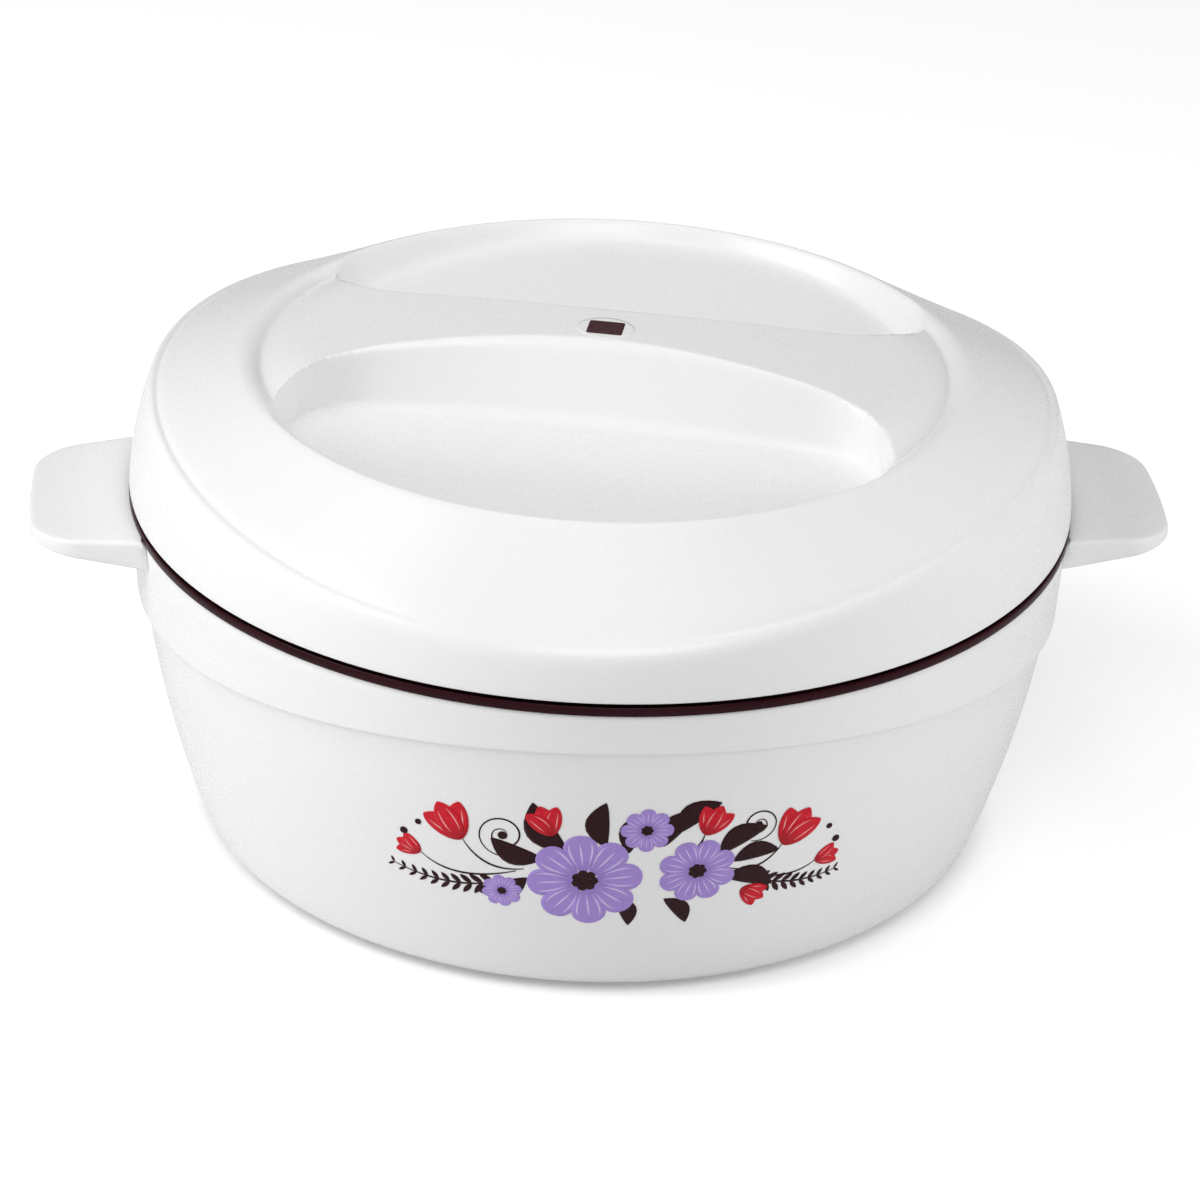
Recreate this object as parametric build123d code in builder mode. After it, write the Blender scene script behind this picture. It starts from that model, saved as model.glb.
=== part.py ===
from build123d import *
import os
from math import cos, pi, radians, sin, sqrt, tan

# Insulated casserole for flat breads.  Millimetres, +Z up, origin on the table
# under the middle of the base, handles along X, printed front towards -Y.
# A value named "rise" is a height above the underside of the rim ring.

# ---- body: outer shell ----
rim_height = 95.5          # table to the underside of the rim ring
shoulder_radius = 128.1    # side wall at the rim; the other radii are measured from it
waist_inset = 5.4          # side wall half way up
base_inset = 18.5          # side wall at the bottom
base_corner = 5.0
foot_height = 2.0
foot_inset = 9.6           # foot, in from the bottom of the side wall
foot_width = 3.0
shell_wall = 2.4
band_step = 1.3            # raised band over the side wall, at the rim
band_draft = 3.0           # degrees
band_front_drop = 13.2     # width of the band at the front and the back
band_side_drop = 27.6      # the same at the handles

# ---- body: steel bowl ----
steel = 0.8
bowl_base_inset = 12.6     # inside of the bowl, in from the side wall, at the bottom
bowl_waist_inset = 13.2    # the same, half way up
bowl_mouth_inset = 12.1    # the same, at the rim
bowl_base_corner = 14.0
foam_under_bowl = 10.0
flange_bearing = 0.7       # how far the bowl's flange reaches over the shell's top edge

# ---- body: rim ring ----
ring_overhang = 1.9        # past the side wall
ring_height = 4.0
ring_edge_round = 1.3
ring_bowl_gap = 2.5        # inner edge of the ring, out from the bowl's mouth
ring_flange_gap = 0.3      # radial, between the flange and the ring's outer bead
lip_height = 4.6           # upstand that centres the lid
lip_width = 3.0
lip_round = 0.8
lip_gap = 0.4              # radial, to the lid's skirt

# ---- handles ----
handle_length = 27.3       # from the ring to the tip
handle_root_half = 34.6    # half width where the handle leaves the ring
handle_tip_half = 30.5
handle_tip_distance = 19.0  # from the ring to where the tip's half width is measured
handle_corner = 13.0
handle_tip_bulge = 1.6
handle_rise = 1.0          # top face above the underside of the ring
handle_root_depth = 8.6
handle_tip_depth = 5.6
handle_wall = 2.2
handle_edge_round = 1.5
handle_seat_gap = 0.2      # to the ring and the band
pad_thickness = 1.3        # pad that lies against the band
pad_round = 9.0            # plan radius between the pad and the handle's sides
pad_end = 0.4              # pad left past that round
pad_end_depth = 3.0
rib_width = 1.8
rib_spacing = 21.0

# ---- handle screws ----
screw_diameter = 3.0
screw_length = 11.0
screw_head_diameter = 5.6
screw_head_height = 1.8
screw_spacing = 42.0
screw_drop = 4.2           # below the underside of the ring
screw_clearance = 0.2      # radial
seat_diameter = 6.6        # flat spot inside the shell under each screw head
seat_height = 1.4
boss_diameter = 6.4
boss_length = 9.0

# ---- filling plugs of the body and the lid ----
plug_diameter = 16.0
plug_flange_diameter = 21.0
plug_flange_height = 1.1
plug_overrun = 1.0         # stem past the wall
plug_clearance = 0.15

# ---- lid ----
lid_turn = -11.8           # degrees, how the lid happens to stand on the body
lid_gap = 0.3              # skirt over ring
lid_wall = 2.5
skirt_waist_inset = 1.8    # in from the ring's radius, half way up the skirt's curve
skirt_top_inset = 5.7
skirt_overrun = 1.8        # skirt's curve above the highest part of the shoulder
crease_inset = 7.5         # valley between the shoulder and the dome, in from the ring's radius
arch_side_rise = 30.5      # shoulder above the ring's underside, at the grip's ends
shoulder_headroom = 2.8    # over the liner's flange, at the front and the back
shoulder_round = 4.5
crest_inset = 32.5         # inner edge of the dome, in from the ring's radius
crest_rise = 38.6
grip_foot_inset = 1.5      # foot of the grip's ends, in from the crest
grip_foot_slope = 23.0     # degrees, of the step around the grip's ends
crown_rise = 50.3          # middle of the grip above the ring's underside
crown_arc_radius = 400.0   # along the grip

# ---- finger recesses of the lid: upper and lower outline of the walls, then the floor ----
recess_overrun = 1.7       # upper outline above the crown
recess_half_gap = 9.0      # half the width of the grip, at its middle
recess_grip_radius = 240.0
recess_top_spread = 5.9    # out from the crest
recess_top_corner = 20.0
foot_drop = 2.0            # lower outline under the floor's low side
foot_half_gap = 25.4
foot_grip_radius = 1500.0
foot_inset_from_crest = 6.5
foot_corner = 14.0
floor_near = 24.0          # distance from the grip's middle, and height there
floor_near_rise = 30.0
floor_far_inset = 4.1      # in from the crest, and height there
floor_far_rise = 34.9
floor_round = 3.5

# ---- lid liner ----
liner_wall = 2.0
liner_lip_gap = 0.6        # over the ring's upstand
liner_skirt_gap = 0.4
liner_plug_depth = 10.0    # below the underside of the ring
liner_plug_gap = 1.6       # radial, inside the steel bowl's mouth
liner_plug_draft = 3.0     # degrees
liner_corner = 5.0
foam_gap = 0.15

# ---- label ----
label_length = 16.0
label_width = 13.4
label_thickness = 0.2
label_shift = 2.4          # from the middle of the grip, towards the front
label_gap = 0.02

crease_overlap = 0.6
crease_points = 36
margin = 1.0               # how far cutting tools pass through a face

waist_radius = shoulder_radius - waist_inset
base_radius = shoulder_radius - base_inset
foot_radius = base_radius - foot_inset
band_radius = shoulder_radius + band_step
bowl_base_radius = base_radius - bowl_base_inset
bowl_waist_radius = waist_radius - bowl_waist_inset
bowl_mouth_radius = shoulder_radius - bowl_mouth_inset
ring_radius = shoulder_radius + ring_overhang
ring_inner_radius = bowl_mouth_radius + ring_bowl_gap
handle_reach = ring_radius + handle_length
handle_tip_start = ring_radius + handle_tip_distance
pad_half = handle_root_half + pad_round + pad_end
skirt_waist_radius = ring_radius - skirt_waist_inset
skirt_top_radius = ring_radius - skirt_top_inset
crease_radius = ring_radius - crease_inset
crest_radius = ring_radius - crest_inset
grip_foot_radius = crest_radius - grip_foot_inset
recess_top_radius = crest_radius + recess_top_spread
foot_outer_radius = crest_radius - foot_inset_from_crest
floor_far = crest_radius - floor_far_inset

ring_top = rim_height + ring_height
lip_top = ring_top + lip_height
skirt_base = ring_top + lid_gap
skirt_height = rim_height + arch_side_rise + skirt_overrun - skirt_base
flange_low = lip_top + liner_lip_gap
flange_high = flange_low + liner_wall
shell_floor = foot_height + shell_wall
bowl_floor = shell_floor + foam_under_bowl + steel
crown_top = rim_height + crown_rise
recess_top = crown_top + recess_overrun
recess_foot = rim_height + floor_near_rise - foot_drop
arch_front_rise = flange_high + lid_wall + shoulder_headroom - rim_height
arch_fall = arch_side_rise - arch_front_rise
arch_radius = (crease_radius ** 2 + arch_fall ** 2) / (2 * arch_fall)


# ================= body =================
def pot_form(base, waist, mouth, floor_z, corner):
    """Solid of revolution up to the rim, with a curved wall and a rounded lower corner."""
    middle_z = (rim_height + foot_height) / 2
    with BuildPart() as form:
        with BuildSketch(Plane.XZ) as profile:
            with BuildLine():
                Line((0, floor_z), (base, floor_z))
                ThreePointArc((base, floor_z), (waist, middle_z), (mouth, rim_height))
                Polyline((mouth, rim_height), (0, rim_height), (0, floor_z))
            make_face()
            fillet(profile.vertices().group_by(Axis.Y)[0].sort_by(Axis.X)[-1], corner)
        revolve(axis=Axis.Z)
    return form.part


def shell_form(inset):
    """The body's outer form without its band, moved in by inset."""
    return pot_form(base_radius - inset, waist_radius - inset, shoulder_radius - inset,
                    foot_height + inset, base_corner)


def bowl_form(outset):
    """The steel bowl's inner form, moved out by outset."""
    return pot_form(bowl_base_radius + outset, bowl_waist_radius + outset, bowl_mouth_radius + outset,
                    bowl_floor - outset, bowl_base_corner + outset)


def band_cone(outset):
    """Turned cone of the band, before its lower edge is trimmed."""
    low_z = rim_height - band_side_drop - margin
    low_radius = band_radius - (rim_height - low_z) * tan(radians(band_draft)) + outset
    with BuildPart() as form:
        with BuildSketch(Plane.XZ):
            Polygon((0, low_z), (low_radius, low_z), (band_radius + outset, rim_height), (0, rim_height))
        revolve(axis=Axis.Z)
    return form.part


def band_form():
    """Raised band under the ring; its lower edge is an arch that dips to the handles."""
    side_z = rim_height - band_side_drop
    front_z = rim_height - band_front_drop
    with BuildPart() as form:
        add(band_cone(0))
        with BuildSketch(Plane.XZ):
            with BuildLine():
                ThreePointArc((-band_radius, side_z), (0, front_z), (band_radius, side_z))
                Polyline((band_radius, side_z), (band_radius, side_z - 2 * margin),
                         (-band_radius, side_z - 2 * margin), (-band_radius, side_z))
            make_face()
        extrude(amount=band_radius + margin, both=True, mode=Mode.SUBTRACT)
    return form.part


def screw_planes():
    """Planes of the two screws of the +X handle; the local Z axis points out of the body."""
    for across in (-screw_spacing / 2, screw_spacing / 2):
        yield Plane((0, across, rim_height - screw_drop), x_dir=(0, 1, 0), z_dir=(1, 0, 0))


inner_wall_reach = sqrt((shoulder_radius - shell_wall) ** 2 - (screw_spacing / 2 + seat_diameter / 2) ** 2)
screw_seat = inner_wall_reach - seat_height

with BuildPart() as seats:
    for screw_plane in screw_planes():
        with BuildSketch(screw_plane.offset(screw_seat)):
            Circle(seat_diameter / 2)
        extrude(amount=shoulder_radius - screw_seat - shell_wall)
    mirror(about=Plane.YZ)

with BuildPart() as screw_holes:
    for screw_plane in screw_planes():
        with BuildSketch(screw_plane.offset(screw_seat - margin)):
            Circle(screw_diameter / 2 + screw_clearance)
        extrude(amount=screw_length + 2 * margin)
    mirror(about=Plane.YZ)

with BuildPart() as outer_shell:
    add(shell_form(0))
    add(band_form())
    with BuildSketch(Plane.XY):
        Circle(foot_radius)
        Circle(foot_radius - foot_width, mode=Mode.SUBTRACT)
    extrude(amount=foot_height + margin)
    add(shell_form(shell_wall), mode=Mode.SUBTRACT)
    add(seats.part)
    add(screw_holes.part, mode=Mode.SUBTRACT)
    with BuildSketch(Plane.XY.offset(foot_height - margin)):
        Circle(plug_diameter / 2)
    extrude(amount=shell_wall + 2 * margin, mode=Mode.SUBTRACT)
outer_shell.part.label = "outer_shell"

flange_radius = shoulder_radius - shell_wall + flange_bearing
with BuildPart() as inner_bowl:
    add(bowl_form(steel))
    with BuildSketch(Plane.XY.offset(rim_height)):
        Circle(flange_radius)
    extrude(amount=steel)
    add(bowl_form(0), mode=Mode.SUBTRACT)
    with BuildSketch(Plane.XY.offset(rim_height - margin)):
        Circle(bowl_mouth_radius)
    extrude(amount=steel + 2 * margin, mode=Mode.SUBTRACT)
inner_bowl.part.label = "inner_bowl"


def skirt_radius_at(height):
    """Radius of the skirt's lower half at a height over its edge, along the chord of its curve."""
    return ring_radius - skirt_waist_inset * height / (skirt_height / 2)


bead_radius = flange_radius + ring_flange_gap
lip_radius = skirt_radius_at(lip_top - skirt_base) - lid_wall - lip_gap
with BuildPart() as rim_ring:
    with BuildSketch(Plane.XZ) as ring_profile:
        Polygon((bead_radius, rim_height), (ring_radius, rim_height), (ring_radius, ring_top),
                (lip_radius, ring_top), (lip_radius, lip_top), (lip_radius - lip_width, lip_top),
                (lip_radius - lip_width, ring_top), (ring_inner_radius, ring_top),
                (ring_inner_radius, rim_height + steel), (bead_radius, rim_height + steel))
        fillet(ring_profile.vertices().group_by(Axis.X)[-1], ring_edge_round)
        fillet(ring_profile.vertices().group_by(Axis.Y)[-1], lip_round)
    revolve(axis=Axis.Z)
rim_ring.part.label = "rim_ring"


def handle_plan(inset):
    """Plan of the +X handle: tapered sides, rounded corners, bowed tip."""
    taper = (handle_root_half - handle_tip_half) / (handle_tip_start - ring_radius)
    corner_x = handle_reach - handle_tip_bulge - inset
    corner_half = handle_tip_half - (corner_x - handle_tip_start) * taper - inset
    root_x = ring_radius / 2
    root_half = handle_root_half + (ring_radius - root_x) * taper - inset
    with BuildSketch() as plan:
        with BuildLine():
            ThreePointArc((corner_x, -corner_half), (handle_reach - inset, 0), (corner_x, corner_half))
            Polyline((corner_x, corner_half), (root_x, root_half), (root_x, -root_half),
                     (corner_x, -corner_half))
        make_face()
        fillet(plan.vertices().group_by(Axis.X)[-1], handle_corner - inset)
    return plan.sketch


def handle_space(outset):
    """Solid that the ring and the band take up beside the handle, grown by outset."""
    with BuildPart() as space:
        add(band_cone(outset))
        with BuildSketch(Plane.XY.offset(rim_height - handle_seat_gap)):
            Circle(ring_radius + outset)
        extrude(amount=ring_height + margin)
    return space.part


handle_top = rim_height + handle_rise
handle_root_low = handle_top - handle_root_depth
handle_tip_low = handle_top - handle_tip_depth
with BuildPart() as handle_pocket:
    with BuildSketch(Plane.XY.offset(handle_root_low - margin)):
        add(handle_plan(handle_wall))
    extrude(amount=handle_root_depth + margin - handle_wall)
    add(handle_space(pad_thickness + handle_wall), mode=Mode.SUBTRACT)
    for across in (-rib_spacing / 2, rib_spacing / 2):
        with BuildSketch(Plane.XY.offset(handle_root_low - margin)):
            with Locations((handle_reach / 2, across)):
                Rectangle(handle_reach, rib_width)
        extrude(amount=handle_root_depth + margin, mode=Mode.SUBTRACT)
    for screw_plane in screw_planes():
        with BuildSketch(screw_plane.offset(band_radius - boss_length)):
            Circle(boss_diameter / 2)
        extrude(amount=2 * boss_length, mode=Mode.SUBTRACT)

with BuildPart() as right_handle:
    with BuildSketch(Plane.XY.offset(handle_top)) as handle_outline:
        pad_radius = ring_radius + pad_thickness
        Circle(pad_radius)
        with Locations((ring_radius, 0)):
            Rectangle(ring_radius, 2 * pad_half, mode=Mode.INTERSECT)
        add(handle_plan(0))
        on_pad = handle_outline.vertices().filter_by(lambda v: abs(Vector(v).length - pad_radius) < margin / 10)
        fillet(on_pad.sort_by(lambda v: abs(v.Y))[:2], pad_round)
    extrude(amount=-handle_root_depth)
    with BuildSketch(Plane.XZ):
        Polygon((ring_radius, handle_root_low), (handle_reach + margin, handle_tip_low),
                (handle_reach + margin, handle_root_low - margin), (ring_radius, handle_root_low - margin))
    extrude(amount=2 * handle_root_half, both=True, mode=Mode.SUBTRACT)
    with BuildSketch(Plane.YZ) as pad_trim:
        Polygon((handle_root_half, handle_root_low), (pad_half + margin, handle_top - pad_end_depth),
                (pad_half + margin, handle_root_low - margin), (handle_root_half, handle_root_low - margin))
        mirror(about=Plane.YZ)
    extrude(amount=handle_reach, mode=Mode.SUBTRACT)
    top_rim = right_handle.faces().sort_by(Axis.Z)[-1].edges().filter_by(
        lambda edge: edge.center().X > ring_radius)
    fillet(top_rim, handle_edge_round)
    add(handle_space(handle_seat_gap), mode=Mode.SUBTRACT)
    add(handle_pocket.part, mode=Mode.SUBTRACT)
    add(screw_holes.part, mode=Mode.SUBTRACT)
right_handle.part.label = "right_handle"

with BuildPart() as left_handle:
    mirror(right_handle.part, about=Plane.YZ)
left_handle.part.label = "left_handle"

with BuildPart() as right_handle_screws:
    for screw_plane in screw_planes():
        with BuildSketch(screw_plane.offset(screw_seat)):
            Circle(screw_diameter / 2)
        extrude(amount=screw_length)
        with BuildSketch(screw_plane.offset(screw_seat)):
            Circle(screw_head_diameter / 2)
        extrude(amount=-screw_head_height)
right_handle_screws.part.label = "right_handle_screws"

with BuildPart() as left_handle_screws:
    mirror(right_handle_screws.part, about=Plane.YZ)
left_handle_screws.part.label = "left_handle_screws"

with BuildPart() as seat_hollows:
    for screw_plane in screw_planes():
        with BuildSketch(screw_plane.offset(screw_seat - screw_head_height - foam_gap)):
            Circle(seat_diameter / 2 + foam_gap)
        extrude(amount=shoulder_radius - screw_seat + screw_head_height)
    mirror(about=Plane.YZ)


def plug_on(face_z, wall):
    """Push-in plug whose flange lies under a wall and whose stem passes up through it."""
    with BuildPart() as plug:
        with BuildSketch(Plane.XY.offset(face_z)):
            Circle(plug_flange_diameter / 2)
        extrude(amount=-plug_flange_height)
        with BuildSketch(Plane.XY.offset(face_z)):
            Circle(plug_diameter / 2 - plug_clearance)
        extrude(amount=wall + plug_overrun)
    return plug.part


def plug_hollow(face_z, wall):
    """Room in the foam over a plug."""
    with BuildPart() as hollow:
        with BuildSketch(Plane.XY.offset(face_z)):
            Circle(plug_diameter / 2 + foam_gap)
        extrude(amount=wall + plug_overrun + foam_gap)
    return hollow.part


with BuildPart() as base_plug:
    add(plug_on(foot_height, shell_wall))
base_plug.part.label = "base_plug"

with BuildPart() as body_insulation:
    add(shell_form(shell_wall + foam_gap))
    add(bowl_form(steel + foam_gap), mode=Mode.SUBTRACT)
    with BuildSketch(Plane.XY.offset(rim_height - foam_gap)):
        Circle(shoulder_radius)
    extrude(amount=margin, mode=Mode.SUBTRACT)
    add(seat_hollows.part, mode=Mode.SUBTRACT)
    add(plug_hollow(foot_height, shell_wall), mode=Mode.SUBTRACT)
body_insulation.part.label = "body_insulation"


# ================= lid =================
def lid_level(height):
    """Level plane at a height, turned with the lid; its X axis runs along the grip."""
    return Plane.XY.offset(height).rotated((0, 0, lid_turn))


along_grip = Plane.XZ.rotated((0, 0, lid_turn))    # elevation seen across the grip
across_grip = Plane.YZ.rotated((0, 0, lid_turn))   # elevation seen along the grip


def arch_z(across):
    """Height of the arch that trims the skirt, at a distance across the grip."""
    return rim_height + arch_side_rise - arch_radius + sqrt(arch_radius ** 2 - across ** 2)


def skirt_form(inset):
    """Curved skirt trimmed by the arch, with its rounded shoulder."""
    low = (ring_radius - inset, skirt_base)
    middle = (skirt_waist_radius - inset, skirt_base + skirt_height / 2)
    high = (skirt_top_radius - inset, skirt_base + skirt_height)
    with BuildPart() as form:
        with BuildSketch(Plane.XZ):
            with BuildLine():
                ThreePointArc(low, middle, high)
                Polyline(high, (0, skirt_base + skirt_height), (0, skirt_base), low)
            make_face()
        revolve(axis=Axis.Z)
        with BuildSketch(across_grip):
            with Locations((0, rim_height + arch_side_rise - arch_radius - inset)):
                Circle(arch_radius)
        extrude(amount=ring_radius + margin, both=True, mode=Mode.INTERSECT)
        shoulder = form.faces().sort_by(Axis.Z)[-1].edges()
        fillet(shoulder, shoulder_round)
    return form.part


def dome_form(inset):
    """Ruled cone from the crease up to the level crest, standing on the skirt's base."""
    crest_z = rim_height + crest_rise - inset
    reach = crease_radius + crease_overlap
    outline = []
    for step in range(crease_points):
        turn = 2 * pi * step / crease_points
        crease_z = arch_z(crease_radius * sin(turn)) - inset
        slope = (crest_z - crease_z) / (crease_radius - crest_radius)
        outline.append((reach * cos(turn), reach * sin(turn), crease_z - crease_overlap * slope))
    drop = crest_z - skirt_base
    with BuildPart() as form:
        crease = Edge.make_spline([lid_level(0).from_local_coords(point) for point in outline], periodic=True)
        crest = Edge.make_circle(crest_radius, lid_level(crest_z))
        extrude(Face.make_surface_from_curves(crease, crest), amount=drop, dir=(0, 0, -1))
        with BuildSketch(lid_level(crest_z)):
            Circle(crest_radius)
        extrude(amount=-drop)
        with BuildSketch(Plane.XY.offset(skirt_base)):
            Circle(ring_radius)
        extrude(amount=drop, mode=Mode.INTERSECT)
    return form.part


def grip_form(inset):
    """Round island with a sloping edge under the arched crown, before the recesses are cut."""
    crest_z = rim_height + crest_rise - inset
    rise = crown_top - inset - crest_z
    with BuildPart() as form:
        with BuildSketch(Plane.XZ):
            Polygon((0, skirt_base), (grip_foot_radius, skirt_base), (grip_foot_radius, crest_z),
                    (grip_foot_radius - rise / tan(radians(grip_foot_slope)), crest_z + rise),
                    (0, crest_z + rise))
        revolve(axis=Axis.Z)
        with BuildSketch(along_grip):
            with Locations((0, crown_top - crown_arc_radius - inset)):
                Circle(crown_arc_radius)
        extrude(amount=crest_radius, both=True, mode=Mode.INTERSECT)
    return form.part


def recess_outline(level, half_gap, grip_radius, outer_radius, corner):
    """Lens between the grip's bowed side and an outer circle, on a level plane."""
    reach = outer_radius + margin
    bow = half_gap + grip_radius - sqrt(grip_radius ** 2 - reach ** 2)
    with BuildSketch(level) as lens:
        Circle(outer_radius)
        with BuildSketch(mode=Mode.PRIVATE) as grip_side:
            with BuildLine():
                ThreePointArc((-reach, bow), (0, half_gap), (reach, bow))
                Polyline((reach, bow), (reach, -reach), (-reach, -reach), (-reach, bow))
            make_face()
        add(grip_side.sketch, mode=Mode.SUBTRACT)
        fillet(lens.vertices(), corner)
    return lens.sketch


def recess_form(inset):
    """Cutting tool for the recess on the +Y side of the grip, grown by inset."""
    floor_fall = (floor_far_rise - floor_near_rise) / (floor_far - floor_near)
    floor_start = rim_height + floor_near_rise - floor_near * floor_fall - inset
    floor_end = floor_start + recess_top_radius * floor_fall
    low_z = recess_foot - inset
    with BuildPart() as form:
        add(recess_outline(lid_level(low_z), foot_half_gap - inset, foot_grip_radius,
                           foot_outer_radius + inset, foot_corner))
        add(recess_outline(lid_level(recess_top), recess_half_gap - inset,
                           recess_grip_radius, recess_top_radius + inset, recess_top_corner))
        loft(ruled=True)
        with BuildSketch(across_grip):
            Polygon((0, floor_start), (recess_top_radius, floor_end),
                    (recess_top_radius, low_z - margin), (0, low_z - margin))
        extrude(amount=recess_top_radius, both=True, mode=Mode.SUBTRACT)
        fillet(form.faces().sort_by(Axis.Z)[0].edges(), floor_round + inset)
    return form.part


def lid_form(inset):
    """The lid's outer form, lowered and moved in by inset, standing on the skirt's base."""
    with BuildPart() as form:
        add(skirt_form(inset))
        add(dome_form(inset))
        add(grip_form(inset))
        with PolarLocations(0, 2):
            add(recess_form(inset), mode=Mode.SUBTRACT)
    return form.part


with BuildPart() as lid_shell:
    add(lid_form(0))
    add(lid_form(lid_wall), mode=Mode.SUBTRACT)
lid_shell.part.label = "lid_shell"

liner_flange_radius = skirt_radius_at(flange_high - skirt_base) - lid_wall - liner_skirt_gap
liner_base = rim_height - liner_plug_depth
liner_top_radius = bowl_mouth_radius - liner_plug_gap
liner_base_radius = liner_top_radius - (flange_low - liner_base) * tan(radians(liner_plug_draft))


def pan_form(inset, top_z):
    """Drafted plug of the lid's liner with a rounded lower corner, moved in by inset."""
    with BuildPart() as form:
        with BuildSketch(Plane.XZ) as profile:
            Polygon((0, liner_base + inset), (liner_base_radius - inset, liner_base + inset),
                    (liner_top_radius - inset, top_z), (0, top_z))
            fillet(profile.vertices().group_by(Axis.Y)[0].sort_by(Axis.X)[-1], liner_corner - inset)
        revolve(axis=Axis.Z)
    return form.part


with BuildPart() as lid_liner:
    add(pan_form(0, flange_high))
    with BuildSketch(Plane.XY.offset(flange_low)):
        Circle(liner_flange_radius)
    extrude(amount=liner_wall)
    add(pan_form(liner_wall, flange_high), mode=Mode.SUBTRACT)
    with BuildSketch(Plane.XY.offset(liner_base - margin)):
        Circle(plug_diameter / 2)
    extrude(amount=liner_wall + 2 * margin, mode=Mode.SUBTRACT)
lid_liner.part.label = "lid_liner"

with BuildPart() as lid_plug:
    add(plug_on(liner_base, liner_wall))
lid_plug.part.label = "lid_plug"

with BuildPart() as lid_insulation:
    add(lid_form(lid_wall + foam_gap))
    with BuildSketch(Plane.XY.offset(skirt_base)):
        Circle(ring_radius)
    extrude(amount=flange_high + foam_gap - skirt_base, mode=Mode.SUBTRACT)
    add(pan_form(liner_wall + foam_gap, flange_high + foam_gap))
    add(plug_hollow(liner_base, liner_wall), mode=Mode.SUBTRACT)
lid_insulation.part.label = "lid_insulation"

with BuildPart() as lid_label:
    with BuildSketch(along_grip):
        with Locations((0, crown_top - crown_arc_radius)):
            Circle(crown_arc_radius + label_gap + label_thickness)
            Circle(crown_arc_radius + label_gap, mode=Mode.SUBTRACT)
    extrude(amount=label_length, both=True)
    with BuildSketch(lid_level(crown_top - margin)):
        with Locations((0, -label_shift)):
            Ellipse(label_length / 2, label_width / 2)
    extrude(amount=2 * margin, mode=Mode.INTERSECT)
lid_label.part.label = "lid_label"

os.makedirs("parts", exist_ok=True)
pieces = (outer_shell, body_insulation, inner_bowl, rim_ring, right_handle, left_handle,
          right_handle_screws, left_handle_screws, base_plug,
          lid_shell, lid_insulation, lid_liner, lid_plug, lid_label)
for piece in pieces:
    export_step(piece.part, f"parts/{piece.part.label}.step")
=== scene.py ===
import math

import bpy
import numpy as np
from mathutils import Matrix, Vector


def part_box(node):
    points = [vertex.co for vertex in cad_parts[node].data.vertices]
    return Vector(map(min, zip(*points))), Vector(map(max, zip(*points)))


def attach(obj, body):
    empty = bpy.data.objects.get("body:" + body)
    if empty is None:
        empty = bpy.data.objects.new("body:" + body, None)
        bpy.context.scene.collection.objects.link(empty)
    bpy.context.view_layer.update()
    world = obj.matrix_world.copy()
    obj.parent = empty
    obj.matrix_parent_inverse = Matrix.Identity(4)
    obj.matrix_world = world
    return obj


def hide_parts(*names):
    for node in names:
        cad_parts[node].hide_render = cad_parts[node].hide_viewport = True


# Insulated casserole for flat breads: lid, ring, body with two handles, printed spray.
# Shapes are worked out in millimetres, with heights from the underside of the rim ring,
# and go into the meshes in metres.
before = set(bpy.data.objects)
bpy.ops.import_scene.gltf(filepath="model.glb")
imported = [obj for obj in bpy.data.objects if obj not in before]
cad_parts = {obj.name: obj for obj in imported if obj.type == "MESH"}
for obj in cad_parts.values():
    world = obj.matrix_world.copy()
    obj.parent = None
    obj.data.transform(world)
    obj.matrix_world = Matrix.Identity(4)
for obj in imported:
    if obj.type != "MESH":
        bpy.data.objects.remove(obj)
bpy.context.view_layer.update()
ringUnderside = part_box("rim_ring")[0][2] * 1000
scene = bpy.context.scene
print("frame loaded, ring underside at", round(ringUnderside, 2), "mm")


# arithmetic shared by the pieces
def smoothMin(first, second, blend):
    # the lower of two heights; where they differ by less than blend, a parabola joins them
    share = np.maximum(blend - np.abs(first - second), 0) / blend
    return np.minimum(first, second) - share * share * blend / 4


def smoothMax(first, second, blend):
    # the higher of two heights, joined in the same way
    return -smoothMin(-first, -second, blend)


def mix(first, second, share):
    # the value that lies at a share of the way from the first to the second
    return first + (second - first) * share


def pastCorner(first, second):
    # how far a point lies past two edges with a right angle between them, measured round their corner;
    # negative inside both
    return np.hypot(np.maximum(first, 0), np.maximum(second, 0)) + np.minimum(np.maximum(first, second), 0)


def circleThrough(first, second, third):
    # centre and radius of the circle through three (radius, height) points
    (ax, ay), (bx, by), (cx, cy) = first, second, third
    area = 2 * (ax * (by - cy) + bx * (cy - ay) + cx * (ay - by))
    aa, bb, cc = ax * ax + ay * ay, bx * bx + by * by, cx * cx + cy * cy
    x = (aa * (by - cy) + bb * (cy - ay) + cc * (ay - by)) / area
    y = (aa * (cx - bx) + bb * (ax - cx) + cc * (bx - ax)) / area
    return x, y, math.hypot(ax - x, ay - y)


def turned(radius, angle, height):
    # points at a radius, an angle about the middle and a height over the ring's underside, in metres
    radius, angle, height = np.broadcast_arrays(radius, angle, height)
    return np.stack([radius * np.cos(angle), radius * np.sin(angle), height + ringUnderside], -1) / 1000


def gridFaces(rows, columns, wrapRows, wrapColumns):
    # one quad for each step along the rows and the columns of a grid of points
    row = np.arange(rows if wrapRows else rows - 1)[:, None]
    column = np.arange(columns if wrapColumns else columns - 1)[None, :]
    nextRow, nextColumn = (row + 1) % rows, (column + 1) % columns
    corners = (row * columns + column, nextRow * columns + column,
               nextRow * columns + nextColumn, row * columns + nextColumn)
    return np.stack(corners, -1).reshape(-1, 4)


def poleFaces(ring, pole, inward):
    # triangles from a ring of point numbers to one point
    following = np.roll(ring, -1)
    order = (ring, following) if inward else (following, ring)
    return np.stack((*order, np.full_like(ring, pole)), -1)


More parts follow.
